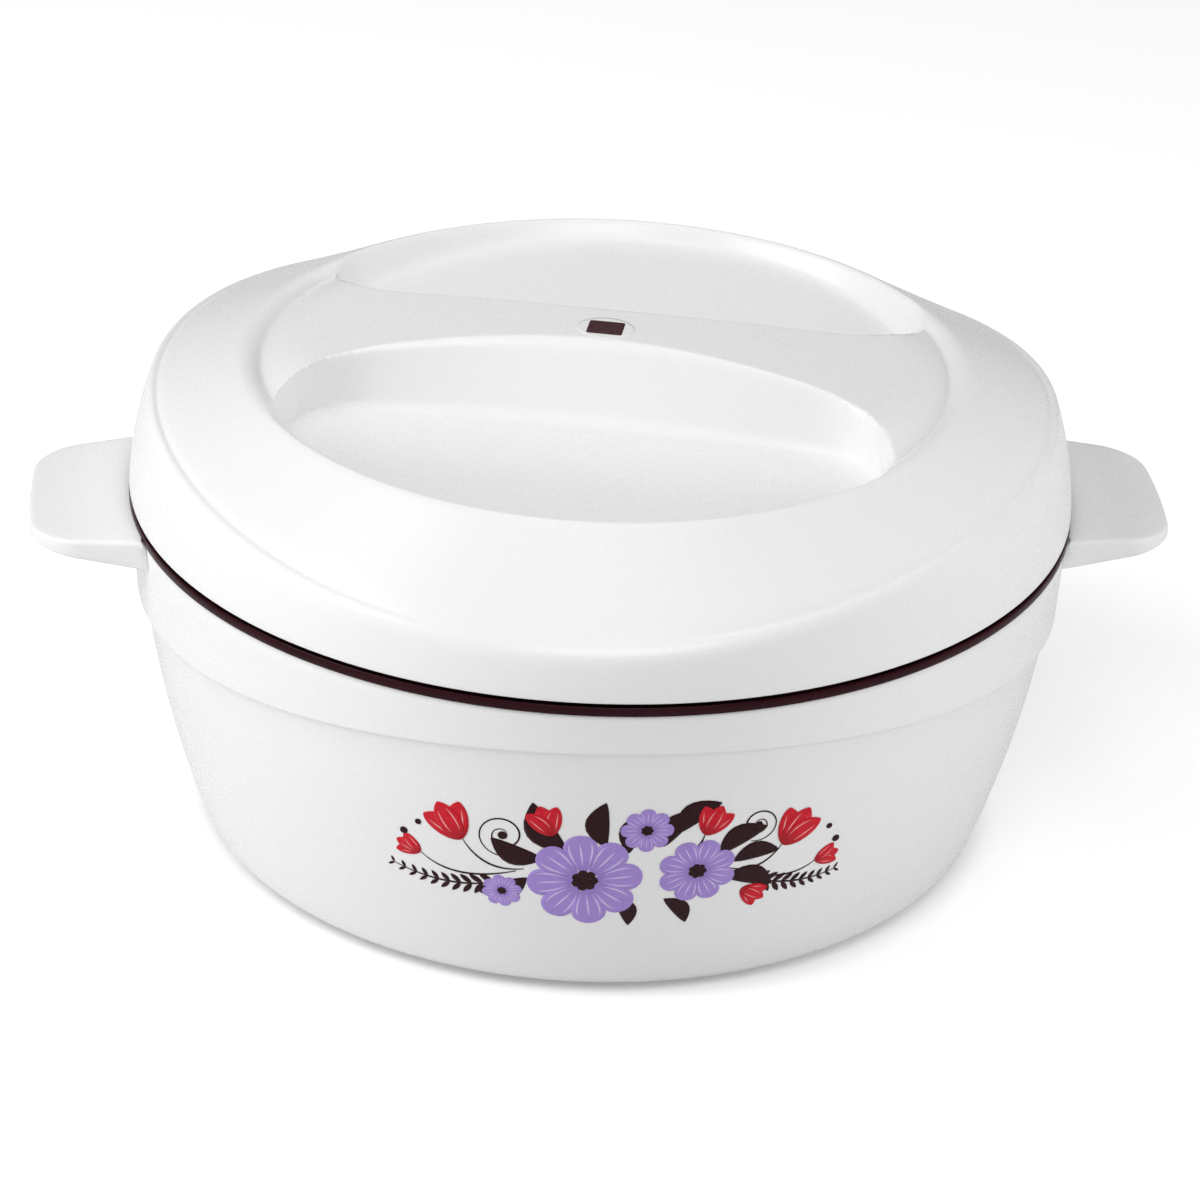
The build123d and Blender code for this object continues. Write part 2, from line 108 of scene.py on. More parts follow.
def cappedFaces(rows, columns):
    # a grid closed once round, with its first and last rows each drawn to one of the two points after it
    ring, total = np.arange(columns), rows * columns
    return [gridFaces(rows, columns, False, True), poleFaces(ring, total, True),
            poleFaces(ring + total - columns, total + 1, False)]


def aroundOnce(count):
    # angles in even steps once round
    return np.arange(count) * 2 * math.pi / count


def arrays(look, *keys):
    # some of a dictionary's values as arrays
    return [np.asarray(look[key], float) for key in keys]


def spread(spans):
    # a column of numbers, evenly placed over each span of (first, last, count)
    return np.concatenate([np.linspace(*span) for span in spans])[:, None]


def addPiece(name, points, faces, material, sharpAngle=None):
    # a smooth-shaded mesh from points in metres and arrays of each face's point numbers; edges that turn by
    # more than the sharp angle, in degrees, stay sharp
    mesh = bpy.data.meshes.new(name)
    mesh.from_pydata(points.reshape(-1, 3).tolist(), [], [face for part in faces for face in part.tolist()])
    mesh.polygons.foreach_set("use_smooth", np.ones(len(mesh.polygons), bool))
    if sharpAngle:
        mesh.set_sharp_from_angle(angle=math.radians(sharpAngle))
    mesh.materials.append(material)
    piece = bpy.data.objects.new(name, mesh)
    scene.collection.objects.link(piece)
    return piece


def thicken(piece, thickness):
    # a sheet becomes a film that lies inside its own surface
    film = piece.modifiers.new("film", "SOLIDIFY")
    film.thickness = thickness / 1000
    film.offset = -1


# materials
class NodeBoard:
    # short way to put nodes on a material and to join them
    def __init__(self, name):
        self.material = bpy.data.materials.new(name)
        self.material.use_nodes = True
        self.nodes = self.material.node_tree.nodes
        self.links = self.material.node_tree.links
        self.shader = self.nodes["Principled BSDF"]
        self.place = self.nodes.new("ShaderNodeTexCoord").outputs["Object"]

    def node(self, kind, **sockets):
        made = self.nodes.new(kind)
        for label, value in sockets.items():
            self.feed(made, label, value)
        return made

    def feed(self, node, label, value):
        # a label such as i2 means the input of that number, any other the input of that name
        numbered = label[0] == "i" and label[1:].isdigit()
        socket = node.inputs[int(label[1:]) if numbered else label]
        if isinstance(value, bpy.types.NodeSocket):
            self.links.new(value, socket)
        else:
            socket.default_value = value

    def noise(self, scale, detail=2.0, vector=None):
        made = self.node("ShaderNodeTexNoise", Vector=vector or self.place, Scale=scale, Detail=detail)
        return made.outputs["Fac"]

    def span(self, value, toLow=0.0, toHigh=1.0, low=0.3, high=0.7):
        made = self.node("ShaderNodeMapRange", i0=value, i1=low, i2=high, i3=toLow, i4=toHigh)
        return made.outputs[0]

    def maths(self, operation, first, second=0.0, third=0.0):
        made = self.nodes.new("ShaderNodeMath")
        made.operation = operation
        for index, value in enumerate((first, second, third)):
            self.feed(made, "i%d" % index, value)
        return made.outputs[0]

    def blendColour(self, share, first, second):
        made = self.nodes.new("ShaderNodeMix")
        made.data_type = "RGBA"
        self.feed(made, "i0", share)
        for label, colour in (("i6", first), ("i7", second)):
            self.feed(made, label, colour if isinstance(colour, bpy.types.NodeSocket) else (*colour, 1))
        return made.outputs[2]

    def bump(self, height, depth):
        made = self.node("ShaderNodeBump", Strength=1.0, Distance=depth, Height=height)
        self.feed(self.shader, "Normal", made.outputs[0])

    def set(self, **sockets):
        for label, value in sockets.items():
            self.feed(self.shader, label.replace("_", " "), value)
        return self.material


def mouldedPlastic(name, look):
    # two close shades in slow clouds, gloss that drifts a little, and a faint ripple with a fine skin
    board = NodeBoard(name)
    clouds = board.noise(look["cloudScale"], 3.0)
    colour = board.blendColour(board.span(clouds, low=0.35, high=0.65), look["colour"], look["shade"])
    rough = board.span(board.noise(look["cloudScale"] * 3),
                       look["roughness"] - look["drift"], look["roughness"] + look["drift"])
    skin = board.maths("MULTIPLY_ADD", board.noise(look["skinScale"], 2.0), look["skinShare"],
                       board.noise(look["rippleScale"], 1.0))
    board.bump(skin, look["bumpDepth"])
    return board.set(Base_Color=colour, Roughness=rough, IOR=look["ior"])


plasticLooks = {
    "whiteMoulding": dict(colour=(0.866, 0.864, 0.866), shade=(0.858, 0.856, 0.859), cloudScale=1100,
        roughness=0.27, drift=0.02, rippleScale=18, skinScale=900, skinShare=0.05,
        bumpDepth=0.00005, ior=1.47),
    "ringMoulding": dict(colour=(0.024, 0.0045, 0.0075), shade=(0.030, 0.006, 0.0095), cloudScale=40,
        roughness=0.30, drift=0.05, rippleScale=60, skinScale=1500, skinShare=0.3,
        bumpDepth=0.00005, ior=1.17),
    "linerMoulding": dict(colour=(0.80, 0.80, 0.79), shade=(0.77, 0.77, 0.765), cloudScale=20,
        roughness=0.34, drift=0.05, rippleScale=40, skinScale=1200, skinShare=0.2,
        bumpDepth=0.00006, ior=1.46),
    "plugMoulding": dict(colour=(0.74, 0.74, 0.73), shade=(0.70, 0.70, 0.69), cloudScale=60,
        roughness=0.42, drift=0.06, rippleScale=90, skinScale=2500, skinShare=0.4,
        bumpDepth=0.00005, ior=1.46),
}
plastics = {name: mouldedPlastic(name, look) for name, look in plasticLooks.items()}


def spunSteel(name, look):
    # fine rings about the upright axis, as spinning and polishing leave them
    board = NodeBoard(name)
    parts = board.node("ShaderNodeSeparateXYZ", i0=board.place)
    squares = [board.maths("MULTIPLY", part, part) for part in parts.outputs[:2]]
    flat = board.maths("SQRT", board.maths("ADD", *squares))
    across = board.node("ShaderNodeCombineXYZ", i0=flat, i2=parts.outputs[2]).outputs[0]
    lines = board.noise(look["lineScale"], 2.0, across)
    colour = board.blendColour(board.span(lines), look["colour"], look["shade"])
    rough = board.span(lines, look["roughness"] - 0.05, look["roughness"] + 0.06)
    board.bump(lines, look["lineDepth"])
    return board.set(Base_Color=colour, Roughness=rough, Metallic=1.0)


steelLooks = {
    "bowlSteel": dict(colour=(0.72, 0.72, 0.71), shade=(0.60, 0.60, 0.60), lineScale=2600, lineDepth=0.000012,
        roughness=0.24),
    "screwSteel": dict(colour=(0.62, 0.62, 0.60), shade=(0.50, 0.50, 0.50), lineScale=5200, lineDepth=0.00001,
        roughness=0.32),
}
steels = {name: spunSteel(name, look) for name, look in steelLooks.items()}


def rigidFoam(name, look):
    # a pattern of foam cells in colour and relief
    board = NodeBoard(name)
    cells = board.node("ShaderNodeTexVoronoi", Vector=board.place, Scale=look["cellScale"]).outputs["Distance"]
    colour = board.blendColour(board.span(cells, low=0.0), look["shade"], look["colour"])
    board.bump(cells, look["cellDepth"])
    return board.set(Base_Color=colour, Roughness=look["roughness"])


foamLook = dict(colour=(0.80, 0.68, 0.40), shade=(0.62, 0.50, 0.27), cellScale=900, cellDepth=0.0003,
                roughness=0.9)
foam = rigidFoam("setFoam", foamLook)

# each carried-over solid takes one material in all its slots
dressing = {"lid_liner": plastics["linerMoulding"], "base_plug": plastics["plugMoulding"],
            "lid_plug": plastics["plugMoulding"], "inner_bowl": steels["bowlSteel"],
            "right_handle_screws": steels["screwSteel"], "left_handle_screws": steels["screwSteel"],
            "body_insulation": foam, "lid_insulation": foam}
for nodeName, material in dressing.items():
    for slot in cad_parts[nodeName].material_slots:
        slot.material = material
print("carried-over parts dressed")

# the lid: one closed skin
lid = dict(
    turn=-12.8,   # degrees, the grip's direction
    skirtFoot=3.5, skirtCurve=((129.96, 4.3), (128.2, 18.3), (124.3, 32.3)), wall=2.5, footRound=0.5,
    creaseSideRadius=122.2, creaseFrontRadius=125.6, archSideRise=32.6, archFrontRise=18.3,
    shoulderSideLift=22, shoulderFrontLift=2,   # degrees, flatter than the dome just outside the crease
    grooveDepth=0.5, grooveWidth=1.1, grooveFade=30, grooveLeast=0.12,
    crestRadius=97.9, crestRise=39.6, crestBlend=3, crestInnerSlope=0.6,
    gripFootRadius=95.75, gripFootRise=37.5, gripFootFall=3, gripFootBlend=0.5,
    gripEndSlope=23, gripEndBlend=1.6, crownRise=50.3, crownArc=400, gripEdgeBlend=2.5,
    wallLow=28, wallHigh=52,   # heights at which the recess's outline is given
    lowHalfGap=23.8, lowGripArc=2200, lowOuterRadius=91.1, lowCorner=23,
    highHalfGap=9.9, highGripArc=271, highOuterRadius=104.5, highCorner=48,
    bowReach=150, wallShares=(-1, 2), halvings=16,
    floorRise=28.3, floorSlope=0.0706, floorBlend=3.6,
    # columns of points, denser about some angles, and rows by radius, distance inside the crease and share
    columns=440, denseAt=(-160, -20, 20, 160), denseGain=1.6, denseSpread=12,
    topSpans=((1.5, 30, 40), (31, 88, 58), (88.6, 102, 26), (103.5, 120, 10)),
    creaseSteps=(1.6, 1.2, 0.9, 0.6, 0.4, 0.2, 0),
    shoulderShares=(0.025, 0.05, 0.08, 0.12, 0.17, 0.23, 0.3, 0.39, 0.48, 0.58, 0.69, 0.8, 0.9, 1),
    skirtSpan=(0.09, 1, 11), innerSpans=((120.5, 120.5, 1), (117, 111, 2), (105, 90, 8), (86, 4, 22)),
    slopeStep=0.5, slopeLimit=1.6)
lidTurn = math.radians(lid["turn"])
crestHeight = lid["crestRise"] + lid["crestBlend"] / 4      # where the crest would be without its blend
archFall = lid["archSideRise"] - lid["archFrontRise"]
archRadius = (lid["creaseFrontRadius"] ** 2 + archFall ** 2) / (2 * archFall)
skirtX, skirtZ, skirtArc = circleThrough(*lid["skirtCurve"])


def creaseRadius(sine):
    # the crease is a circle drawn out a little to the front and the back, by the sine squared
    return mix(lid["creaseSideRadius"], lid["creaseFrontRadius"], sine ** 2)


def archHeight(across):
    # the shoulder runs along an arch over the lid: a circle seen along the grip
    return lid["archSideRise"] - archRadius + np.sqrt(archRadius ** 2 - across ** 2)


def skirtRadius(height):
    # the skirt's side is an arc of a circle
    return skirtX + np.sqrt(skirtArc ** 2 - (height - skirtZ) ** 2)


def domeSlope(sine):
    # the straight line from the crest to the crease falls by this much for each step outwards
    radius = creaseRadius(sine)
    return (crestHeight - archHeight(radius * sine)) / (radius - lid["crestRadius"])


def shoulderArc(sine):
    # the shoulder's rounding leaves the crease flatter than the dome, most beside the grip's ends, and touches
    # the skirt's arc from inside; its radius is (A*A - d*d) / (2 (A - d.n)), with A the skirt's radius of arc,
    # d the crease seen from the skirt's centre and n the direction square to the rounding's start
    lift = mix(lid["shoulderSideLift"], lid["shoulderFrontLift"], sine ** 2)
    tilt = np.arctan(domeSlope(sine)) - np.radians(lift)
    creaseX = creaseRadius(sine) - skirtX
    creaseZ = archHeight(creaseRadius(sine) * sine) - skirtZ
    outward = creaseX * np.sin(tilt) + creaseZ * np.cos(tilt)
    rounding = (skirtArc ** 2 - creaseX ** 2 - creaseZ ** 2) / (2 * (skirtArc - outward))
    middleX = skirtX + creaseX - rounding * np.sin(tilt)
    middleZ = skirtZ + creaseZ - rounding * np.cos(tilt)
    last = math.pi / 2 - np.arctan2(middleZ - skirtZ, middleX - skirtX)
    return rounding, middleX, middleZ, tilt, last


def grooveDip(radius, sine):
    # a narrow bell-shaped groove along the crease, which runs out towards the front and the back
    off = np.degrees(np.arccos(np.minimum(np.abs(sine), 1.0)))
    fade = 1 - (1 - lid["grooveLeast"]) * np.exp(-(off / lid["grooveFade"]) ** 2)
    return lid["grooveDepth"] * fade * np.exp(-((radius - creaseRadius(sine)) / lid["grooveWidth"]) ** 2)


def recessWall(along, across, radius):
    # the recess's outline at a height is a lens between the grip's bowed side and a circle, with rounded
    # corners; it changes evenly from the low outline to the high one, and the wall's height at a point is
    # the height whose outline passes through it, found by halving
    reach = np.minimum(np.abs(along), lid["bowReach"])
    lowSide, highSide = (gap + arc - np.sqrt(arc ** 2 - reach ** 2) for gap, arc in (
        (lid["lowHalfGap"], lid["lowGripArc"]), (lid["highHalfGap"], lid["highGripArc"])))
    below, above = (np.full_like(radius, limit) for limit in lid["wallShares"])
    for halving in range(lid["halvings"]):
        share = (below + above) / 2
        corner = mix(lid["lowCorner"], lid["highCorner"], share)
        side = mix(lowSide, highSide, share) - np.abs(across) + corner
        outer = radius - mix(lid["lowOuterRadius"], lid["highOuterRadius"], share) + corner
        outside = pastCorner(side, outer) > corner
        below, above = np.where(outside, share, below), np.where(outside, above, share)
    return mix(lid["wallLow"], lid["wallHigh"], (below + above) / 2)


def lidTop(along, across):
    # dome: straight lines from the arched crease up to the level crest, then a short slope inwards;
    # grip: the lower of a rising end and the crown's arc; recesses: the higher of their wall and a
    # tilted floor, taken out of dome and grip by the lower of the two
    radius = np.hypot(along, across)
    sine = across / np.maximum(radius, 1e-6)
    outside = crestHeight - (radius - lid["crestRadius"]) * domeSlope(sine)
    inside = crestHeight - (lid["crestRadius"] - radius) * lid["crestInnerSlope"]
    dome = smoothMin(outside, inside, lid["crestBlend"])
    beyond = lid["gripFootRadius"] - radius
    endSlope = math.tan(math.radians(lid["gripEndSlope"]))
    end = lid["gripFootRise"] + beyond * np.where(beyond > 0, endSlope, lid["gripFootFall"])
    grip = smoothMin(end, lid["crownRise"] - along ** 2 / (2 * lid["crownArc"]), lid["gripEndBlend"])
    top = smoothMax(dome, grip, lid["gripFootBlend"]) - grooveDip(radius, sine)
    floor = lid["floorRise"] + lid["floorSlope"] * np.abs(across)
    recess = smoothMax(recessWall(along, across, radius), floor, lid["floorBlend"])
    return smoothMin(top, recess, lid["gripEdgeBlend"])


def lidColumns(count):
    # angles packed closer where the recess walls run nearly towards the middle: the running sum of a density
    # with a bell at each such place is cut into equal steps
    angle = np.linspace(-math.pi, math.pi, 2881)
    density = np.ones_like(angle)
    for middle in lid["denseAt"]:
        density += lid["denseGain"] * np.exp(-((np.degrees(angle) - middle) / lid["denseSpread"]) ** 2)
    total = np.concatenate([[0], np.cumsum((density[1:] + density[:-1]) / 2)])
    return np.interp(np.arange(count) / count, total / total[-1], angle)


def buildLidShell():
    # rows from the middle outwards over the top, crease and shoulder, down the skirt, round its foot and back
    # inside, where the inner face lies the wall's thickness under the top, square to it
    angle = lidColumns(lid["columns"])[None, :]
    sine = np.sin(angle)

    def underRadius(radius, lowered=0.0):
        # the top at a radius, set down by a thickness times the root of one plus the slope squared
        along, across = radius * np.cos(angle), radius * np.sin(angle)
        height = lidTop(along, across)
        if lowered:
            step = lid["slopeStep"]
            climb = np.hypot(lidTop(along + step, across) - height, lidTop(along, across + step) - height)
            height = height - lowered * np.sqrt(1 + np.minimum(climb / step, lid["slopeLimit"]) ** 2)
        return turned(radius, angle + lidTurn, height)

    def add(radius, height):
        rows.append(turned(radius, angle + lidTurn, height))

    near = creaseRadius(sine) - np.array(lid["creaseSteps"])[:, None]
    rows = [underRadius(spread(lid["topSpans"])), underRadius(near)]
    rounding, middleX, middleZ, first, last = shoulderArc(sine)
    bend = mix(first, last, np.array(lid["shoulderShares"])[:, None])
    across = middleX + rounding * np.sin(bend)
    add(across, middleZ + rounding * np.cos(bend) - grooveDip(across, sine))
    foot, curve, wall = lid["skirtFoot"], lid["footRound"], lid["wall"]
    down = mix(foot + curve, middleZ + rounding * np.cos(last), 1 - np.linspace(*lid["skirtSpan"])[:, None])
    add(skirtRadius(down), down)
    bend = np.radians([30, 60, 90])[:, None]
    add(skirtRadius(foot + curve) - curve * (1 - np.cos(bend)), foot + curve * (1 - np.sin(bend)))
    add(skirtRadius(foot) - wall, foot)
    up = mix(foot, middleZ, np.array([0.33, 0.66, 1.0])[:, None])
    add(skirtRadius(up) - wall, up)
    rows.append(underRadius(spread(lid["innerSpans"]), wall))
    rows = np.concatenate(rows)
    poles = turned(0, 0, np.array([lid["crownRise"], lid["crownRise"] - wall]))
    points = np.concatenate([rows.reshape(-1, 3), poles])
    piece = addPiece("lidMoulding", points, cappedFaces(*rows.shape[:2]), plastics["whiteMoulding"], 50)
    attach(piece, "lid")
    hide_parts("lid_shell")


buildLidShell()
print("lid built")

# the body's shell: one closed section carried round
body = dict(
    wallCurve=((128.1, 0), (122.7, -46.75), (109.6, -93.5)), wall=2.4, cornerRound=6.2,
    bandRadius=129.4, bandDraft=3, bandFrontDrop=12.3, bandSideDrop=26.1,
    bandEdgeRound=1.1, bandRootRound=0.7, rimRound=0.3,
    footOuter=100, footInner=97, footHeight=2, footChamfer=0.3, plugHole=8, columns=448)
wallX, wallZ, wallArc = circleThrough(*body["wallCurve"])


def wallRadius(height):
    # the side wall is an arc of a circle
    return wallX + np.sqrt(wallArc ** 2 - (height - wallZ) ** 2)


def bandRadius(height):
    # a cone that widens upwards by the draft
    return body["bandRadius"] + height * math.tan(math.radians(body["bandDraft"]))


def buildBodyShell():
    # rows from the rim down: band, its rounded lower edge and hollow root, side wall, bottom corner, foot ring,
    # floor with the plug's hole, inner wall; the band's edge goes from side drop to front drop by sine squared
    angle = aroundOnce(body["columns"])[None, :]
    edge = mix(-body["bandSideDrop"], -body["bandFrontDrop"], np.sin(angle) ** 2)
    rows = []

    def add(radius, height):
        rows.append(turned(radius, angle, height))

    bottom = body["wallCurve"][2][1]
    add(wallRadius(0.0) - body["wall"], 0.0)
    add(body["bandRadius"] - body["rimRound"], 0.0)
    add(body["bandRadius"], -body["rimRound"])
    rounding = body["bandEdgeRound"]
    for share in (0.25, 0.5, 0.75, 0.95):
        level = share * (edge + rounding)
        add(bandRadius(level), level)
    outer = bandRadius(edge + rounding)
    for bend in np.radians([0, 20, 40, 60, 78]):
        add(outer - rounding * (1 - np.cos(bend)), edge + rounding * (1 - np.sin(bend)))
    root = body["bandRootRound"]
    inner = wallRadius(edge - root)
    for bend in np.radians([78, 55, 30, 5]):
        add(inner + root * (1 - np.sin(bend)), edge - root * (1 - np.cos(bend)))
    # the bottom corner's circle stands on the bottom and touches the side wall along its slope
    corner = body["cornerRound"]
    slope = wallRadius(bottom + corner + 1) - wallRadius(bottom + corner)
    cornerX = wallRadius(bottom + corner) - corner * math.sqrt(1 + slope ** 2)
    tilt = math.atan(slope)
    startZ = bottom + corner - corner * math.sin(tilt)
    for share in np.linspace(0.06, 1, 16):
        level = mix(edge - root, startZ, share)
        add(wallRadius(level), level)
    for bend in np.linspace(tilt, math.pi / 2, 8)[1:]:
        add(cornerX + corner * np.cos(bend), bottom + corner * (1 - np.sin(bend)))
    table, inside, cut = bottom - body["footHeight"], bottom + body["wall"], body["footChamfer"]
    outerFoot, innerFoot, hole = body["footOuter"], body["footInner"], body["plugHole"]
    for radius, height in ((outerFoot, bottom), (outerFoot, table + cut), (outerFoot - cut, table),
                           (innerFoot + cut, table), (innerFoot, table + cut), (innerFoot, bottom),
                           (60.0, bottom), (20.0, bottom), (hole, bottom), (hole, inside), (40.0, inside),
                           (80.0, inside), (cornerX, inside)):
        add(radius, height)
    for share in (0.08, 0.3, 0.55, 0.8):
        level = startZ * (1 - share)
        add(wallRadius(level) - body["wall"], level)
    rows = np.concatenate(rows)
    faces = gridFaces(len(rows), body["columns"], True, True)
    piece = addPiece("bodyMoulding", rows, [faces], plastics["whiteMoulding"], 50)
    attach(piece, "casserole_body")
    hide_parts("outer_shell")


buildBodyShell()
print("body built")

# the ring between body and lid, its section as (radius, height): outer bead from the top down, seat on the
# bowl's flange, upstand that centres the lid, and a groove under the skirt's foot that parts it from the bead
ring = dict(profile=((129.15, 1.4), (129.2, 2.1), (129.35, 2.35), (129.6, 2.45), (129.85, 2.3), (129.98, 1.9),
                     (129.98, 0.15), (129.85, 0),
                     (126.7, 0), (126.7, 0.8), (118.5, 0.8), (118.5, 4), (123.55, 4), (123.55, 7.8),
                     (123.8, 8.35), (124.35, 8.6), (125.75, 8.6), (126.3, 8.35), (126.55, 7.8), (126.55, 1.4)),
            columns=360)


def buildRing():
    # the section carried round the upright axis
    angle = aroundOnce(ring["columns"])[None, :]
    radius, height = np.array(ring["profile"]).T[:, :, None]
    points = turned(radius, angle, height)
    faces = gridFaces(len(ring["profile"]), ring["columns"], True, True)
    piece = addPiece("ringMoulding", points, [faces], plastics["ringMoulding"], 50)
    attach(piece, "casserole_body")
    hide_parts("rim_ring")


buildRing()
print("ring built")

# the handles: flat tabs, hollow underneath
handle = dict(
    reach=157.25, tipBow=1.7, tipBowHalf=27, corner=11,   # plan: bowed tip and rounded corners
    rootHalf=33.4, taper=0.19, rootRadius=130.05, seat=0.05,   # above the band's top the root meets the ring
    topRise=0.6, topSlope=-0.067, bottomRise=-7, bottomSlope=0.097,
    ringAbove=-0.2, levelRadius=130,   # where the ring starts and root heights are read
    edgeRound=1.3, lowerRound=0.8, wall=2.2, middle=142, columns=200, farthest=60, halvings=20,
    ribAt=(-11, 11), ribHalf=0.8, ribRootGap=1, ribTipGap=2, ribSink=0.3, ribLift=0.4)
# the sides of a box whose corners are numbered by end, by side and by height
boxFaces = np.array([(0, 1, 3, 2), (4, 6, 7, 5), (0, 4, 5, 1), (2, 3, 7, 6), (0, 2, 6, 4), (1, 5, 7, 3)])


def handleOutline(angle, inset, root):
    # on each ray from the handle's middle, the point at the given inset from the plan's edge, found by
    # halving; the edge is tapered sides joined to a bowed tip by round corners, and a root round the body
    corner = handle["corner"]
    bow = (handle["tipBowHalf"] ** 2 + handle["tipBow"] ** 2) / (2 * handle["tipBow"])
    near, far = np.zeros_like(angle), np.full_like(angle, handle["farthest"])
    for halving in range(handle["halvings"]):
        reach = (near + far) / 2
        x, y = handle["middle"] + reach * np.cos(angle), reach * np.sin(angle)
        side = np.abs(y) - handle["rootHalf"] + handle["taper"] * (x - handle["rootRadius"]) + corner
        tip = np.hypot(x - handle["reach"] + bow, y) - bow + corner
        outside = (pastCorner(side, tip) > corner - inset) | (np.hypot(x, y) < root)
        near, far = np.where(outside, near, reach), np.where(outside, reach, far)
    return x, y


def handleTop(x):
    # the top's height: its rise at the root and an even fall towards the tip
    return handle["topRise"] + handle["topSlope"] * (x - handle["rootRadius"])


def handleBottom(x):
    # the underside's height: lowest at the root, with an even rise towards the tip
    return handle["bottomRise"] + handle["bottomSlope"] * (x - handle["rootRadius"])


def rootAt(height):
    # the root stands off the ring above the band's top edge and off the band below it
    return np.where(height > handle["ringAbove"], handle["rootRadius"], bandRadius(height) + handle["seat"])


def buildHandle(name, side, nodeName):
    # closed rings of points from the top's middle out, round the upper edge, down the side, round the lower
    # edge and up into the hollow, the wall's thickness inside; side is 1 on the right and -1 on the left
    angle = aroundOnce(handle["columns"])
    upper, lower, wall = handle["edgeRound"], handle["lowerRound"], handle["wall"]
    highest, lowest = handleTop(handle["levelRadius"]), handleBottom(handle["levelRadius"])
    middle = handle["middle"]
    rows = []
    x, y = handleOutline(angle, upper, handle["rootRadius"])
    for share in (0.3, 0.55, 0.75, 0.9):
        across = mix(middle, x, share)
        rows.append((across, y * share, handleTop(across)))
    for bend in np.radians([0, 15, 30, 45, 60, 75, 90]):
        drop = upper * (1 - np.cos(bend))
        x, y = handleOutline(angle, upper * (1 - np.sin(bend)), rootAt(highest - drop))
        rows.append((x, y, handleTop(x) - drop))
    for share in (0.33, 0.67, 1.0):
        x, y = handleOutline(angle, 0.0, rootAt(mix(highest - upper, lowest + lower, share)))
        rows.append((x, y, mix(handleTop(x) - upper, handleBottom(x) + lower, share)))
    for bend in np.radians([30, 60, 90]):
        x, y = handleOutline(angle, lower * (1 - np.cos(bend)), rootAt(lowest))
        rows.append((x, y, handleBottom(x) + lower * (1 - np.sin(bend))))
    x, y = handleOutline(angle, wall, handle["rootRadius"] + wall)
    rows += [(x, y, handleBottom(x)), (x, y, handleTop(x) - wall)]
    for share in (0.7, 0.35):
        across = mix(middle, x, share)
        rows.append((across, y * share, handleTop(across) - wall))
    grid = np.array(rows).transpose(0, 2, 1)
    poles = [[middle, 0, handleTop(middle)], [middle, 0, handleTop(middle) - wall]]
    points = np.concatenate([grid.reshape(-1, 3), poles]) + [0, 0, ringUnderside]
    skin, *caps = cappedFaces(*grid.shape[:2])
    faces = [skin]
    # ribs across the hollow underside, each a thin upright box with a slanted lower edge
    for place in handle["ribAt"]:
        first = len(points)
        ends = [handle["rootRadius"] + handle["ribRootGap"], handle["reach"] - handle["ribTipGap"]]
        thick = [place - handle["ribHalf"], place + handle["ribHalf"]]
        x, y, top = (value.reshape(-1) for value in np.meshgrid(ends, thick, [0, 1], indexing="ij"))
        z = np.where(top > 0, handleTop(x) - wall + handle["ribSink"], handleBottom(x) + handle["ribLift"])
        points = np.concatenate([points, np.stack([x, y, z + ringUnderside], -1)])
        faces.append(boxFaces + first)
    points = points * [side, 1, 1] / 1000
    faces = [part[:, ::side] for part in faces + caps]      # mirrored faces are taken the other way round
    piece = addPiece(name, points, faces, plastics["whiteMoulding"], 50)
    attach(piece, "casserole_body")
    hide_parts(nodeName)


buildHandle("rightHandleMoulding", 1, "right_handle")
buildHandle("leftHandleMoulding", -1, "left_handle")
print("handles built")

# the label on the grip: a clear film with a blank dark tag
label = dict(length=16, width=13.4, shift=2.4, lift=0.02, filmThickness=0.015,
             tagLength=9.8, tagWidth=8.4, tagLift=0.045, tagPower=14, rippleDepth=0.00003)


def crownPatch(name, radial, lift, material, rings=10, spokes=96):
    # rings from the patch's middle to its outline, laid on the lid's top
    spoke = aroundOnce(spokes)
    along, across = radial(spoke)
    share = np.linspace(0, 1, rings + 1)[1:, None]
    x, y = along * share, across * share - label["shift"]
    rows = turned(np.hypot(x, y), np.arctan2(y, x) + lidTurn, lidTop(x, y) + lift)
    pole = turned(label["shift"], lidTurn - math.pi / 2, lid["crownRise"] + lift)
    points = np.concatenate([rows.reshape(-1, 3), pole[None]])
    faces = [gridFaces(rings, spokes, False, True), poleFaces(np.arange(spokes), rings * spokes, True)]
    piece = addPiece(name, points, faces, material)
    thicken(piece, label["filmThickness"])
    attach(piece, "lid")
    return piece


def ovalOutline(spoke):
    # an ellipse
    return label["length"] / 2 * np.cos(spoke), label["width"] / 2 * np.sin(spoke)


def tagOutline(spoke):
    # a rectangle with small rounded corners: x and y to the tag's power add up to one
    x, y = (np.sign(part) * np.abs(part) ** (2 / label["tagPower"]) for part in (np.cos(spoke), np.sin(spoke)))
    return label["tagLength"] / 2 * x, label["tagWidth"] / 2 * y


def thinFilm(name, look):
    # two close shades in clouds, gloss that drifts with them, and a faint ripple
    board = NodeBoard(name)
    clouds = board.noise(look["cloudScale"], look["cloudDetail"])
    colour = board.blendColour(board.span(clouds), look["colour"], look["shade"])
    board.bump(board.noise(look["rippleScale"], 1.0), label["rippleDepth"])
    return board.set(Base_Color=colour, Roughness=board.span(clouds, *look["roughness"]))


filmLooks = {
    "clearFilm": dict(colour=(0.868, 0.868, 0.874), shade=(0.855, 0.855, 0.862), cloudScale=220, cloudDetail=2,
        rippleScale=400, roughness=(0.14, 0.22)),
    "darkFoil": dict(colour=(0.035, 0.006, 0.010), shade=(0.055, 0.010, 0.016), cloudScale=700, cloudDetail=3,
        rippleScale=500, roughness=(0.22, 0.34)),
}
films = {name: thinFilm(name, look) for name, look in filmLooks.items()}
labelFilm = crownPatch("labelFilm", ovalOutline, label["lift"], films["clearFilm"])
crownPatch("labelTag", tagOutline, label["tagLift"], films["darkFoil"])
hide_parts("lid_label")
print("label built")

